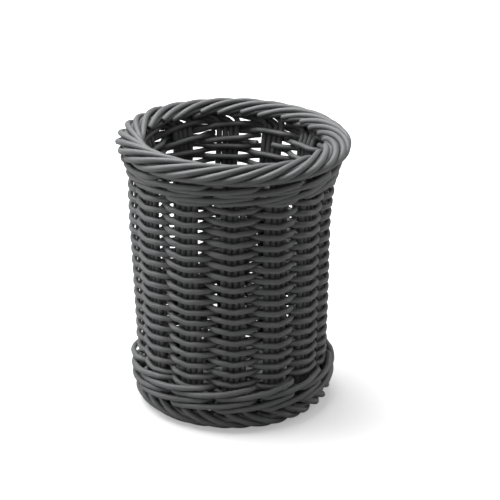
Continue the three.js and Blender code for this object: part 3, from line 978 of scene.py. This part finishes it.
class BASKET_OT_set_studio(bpy.types.Operator):
    """Lay the floor, hang the lamps and set up the camera"""

    bl_idname = "basket.set_studio"
    bl_label = "Set the studio"

    FLOOR_REACH = 2.0
    FILL = 0.29
    # Name, place, width, height and power of each lamp
    LAMPS = (
        ("left_lamp", (-0.75, 0.12, 0.42), 0.7, 0.9, 5.5),
        ("right_lamp", (0.85, 0.25, 0.5), 0.7, 0.9, 5.0),
        ("top_lamp", (-0.25, 0.15, 1.0), 0.9, 0.9, 37.0),
        ("front_lamp", (-0.3, -1.1, 0.7), 0.8, 0.8, 2.5),
    )
    LAMPS_AIM = (0.0, 0.0, 0.07)
    CAMERA_AIM = 70 * MM
    CAMERA_SHIFT = (0.0374, 0.038)

    def execute(self, context):
        studio = context.scene.basket_studio
        self.lay_floor(studio)
        self.light_air(context, studio)
        self.hang_lamps(studio)
        self.set_camera(context, studio)
        context.scene.view_settings.view_transform = "Standard"
        return {"FINISHED"}

    def lay_floor(self, studio):
        """A pale floor that shows white and keeps the basket's shadow.

        Its glow grows away from the basket, where the lamps reach it less.
        """
        reach = self.FLOOR_REACH
        mesh = bpy.data.meshes.new("floor")
        corners = [(-reach, -reach, 0), (reach, -reach, 0), (reach, reach, 0), (-reach, reach, 0)]
        mesh.from_pydata(corners, [], [(0, 1, 2, 3)])
        floor = bpy.data.objects.new("floor", mesh)
        bpy.context.scene.collection.objects.link(floor)
        material = bpy.data.materials.new("floor_white")
        material.use_nodes = True
        tree = material.node_tree
        tree.nodes.clear()
        link = tree.links.new
        output = add_node(tree, "ShaderNodeOutputMaterial")
        matt = add_node(tree, "ShaderNodeBsdfDiffuse", Color=(*studio.floor_colour, 1))
        glow = add_node(tree, "ShaderNodeEmission")
        where = add_node(tree, "ShaderNodeNewGeometry")
        away = add_node(tree, "ShaderNodeVectorMath")
        away.operation = "LENGTH"
        growth = add_node(
            tree, "ShaderNodeMapRange", From_Min=0.25, From_Max=0.7, To_Min=0.34, To_Max=1.0,
        )
        both = add_node(tree, "ShaderNodeAddShader")
        seen = add_node(tree, "ShaderNodeLightPath")
        ray = add_node(tree, "ShaderNodeMath")
        ray.operation = "MAXIMUM"
        choose = add_node(tree, "ShaderNodeMixShader")
        link(where.outputs["Position"], away.inputs[0])
        link(away.outputs["Value"], growth.inputs["Value"])
        link(growth.outputs["Result"], glow.inputs["Strength"])
        link(matt.outputs["BSDF"], both.inputs[0])
        link(glow.outputs["Emission"], both.inputs[1])
        link(seen.outputs["Is Camera Ray"], ray.inputs[0])
        link(seen.outputs["Is Transmission Ray"], ray.inputs[1])
        link(ray.outputs["Value"], choose.inputs["Fac"])
        link(matt.outputs["BSDF"], choose.inputs[1])
        link(both.outputs["Shader"], choose.inputs[2])
        link(choose.outputs["Shader"], output.inputs["Surface"])
        mesh.materials.append(material)

    def light_air(self, context, studio):
        """White air behind, and a low even light from all round."""
        world = bpy.data.worlds.new("studio_air")
        context.scene.world = world
        world.use_nodes = True
        tree = world.node_tree
        tree.nodes.clear()
        link = tree.links.new
        output = add_node(tree, "ShaderNodeOutputWorld")
        white = (1, 1, 1, 1)
        strength = self.FILL * studio.light_level
        fill = add_node(tree, "ShaderNodeBackground", Color=white, Strength=strength)
        behind = add_node(tree, "ShaderNodeBackground", Color=white)
        seen = add_node(tree, "ShaderNodeLightPath")
        choose = add_node(tree, "ShaderNodeMixShader")
        link(seen.outputs["Is Camera Ray"], choose.inputs["Fac"])
        link(fill.outputs["Background"], choose.inputs[1])
        link(behind.outputs["Background"], choose.inputs[2])
        link(choose.outputs["Shader"], output.inputs["Surface"])

    def hang_lamps(self, studio):
        """Soft boxes round the basket, the strongest above it."""
        for name, where, wide, high, power in self.LAMPS:
            data = bpy.data.lights.new(name, "AREA")
            data.shape = "RECTANGLE"
            data.size, data.size_y = wide, high
            data.energy = power * studio.light_level
            lamp = bpy.data.objects.new(name, data)
            bpy.context.scene.collection.objects.link(lamp)
            lamp.location = where
            aim = np.subtract(self.LAMPS_AIM, where)
            pitch = math.acos(-aim[2] / np.linalg.norm(aim))
            lamp.rotation_euler = (pitch, 0, math.atan2(aim[1], aim[0]) - math.pi / 2)

    def set_camera(self, context, studio):
        """The camera stands in front of the basket and looks down on it."""
        data = bpy.data.cameras.new("camera")
        data.lens = studio.lens
        data.sensor_width = 36
        data.shift_x, data.shift_y = self.CAMERA_SHIFT
        data.clip_start = 0.01
        camera = bpy.data.objects.new("camera", data)
        context.scene.collection.objects.link(camera)
        rise = studio.distance * math.sin(studio.elevation)
        back = studio.distance * math.cos(studio.elevation)
        camera.location = (0, -back, self.CAMERA_AIM + rise)
        camera.rotation_euler = (math.pi / 2 - studio.elevation, 0, 0)
        context.scene.camera = camera


# Panel and registration

BUILD_ORDER = (
    BASKET_OT_set_studio,
    BASKET_OT_lay_base_sticks,
    BASKET_OT_weave_base,
    BASKET_OT_set_stakes,
    BASKET_OT_lace_foot,
    BASKET_OT_work_bottom_wale,
    BASKET_OT_weave_wall,
    BASKET_OT_work_top_wale,
)

SETTINGS = (
    ("basket_form", BasketForm),
    ("basket_strands", StrandSizes),
    ("basket_finish", PlasticFinish),
    ("basket_studio", Studio),
)


class VIEW3D_PT_basket(bpy.types.Panel):
    """Steps and sizes of the basket"""

    bl_label = "Woven basket"
    bl_idname = "VIEW3D_PT_basket"
    bl_space_type = "VIEW_3D"
    bl_region_type = "UI"
    bl_category = "Basket"

    def draw(self, context):
        for step in BUILD_ORDER:
            self.layout.operator(step.bl_idname)
        for name, kind in SETTINGS:
            box = self.layout.box()
            for key in kind.__annotations__:
                box.prop(getattr(context.scene, name), key)


def register():
    for name, kind in SETTINGS:
        bpy.utils.register_class(kind)
        setattr(bpy.types.Scene, name, PointerProperty(type=kind))
    for kind in (*BUILD_ORDER, VIEW3D_PT_basket):
        bpy.utils.register_class(kind)


def unregister():
    for kind in reversed((*BUILD_ORDER, VIEW3D_PT_basket)):
        bpy.utils.unregister_class(kind)
    for name, kind in reversed(SETTINGS):
        delattr(bpy.types.Scene, name)
        bpy.utils.unregister_class(kind)


def main():
    """Builds the basket and its studio."""
    register()
    for step in BUILD_ORDER:
        module, name = step.bl_idname.split(".")
        getattr(getattr(bpy.ops, module), name)()


if __name__ == "__main__":
    main()
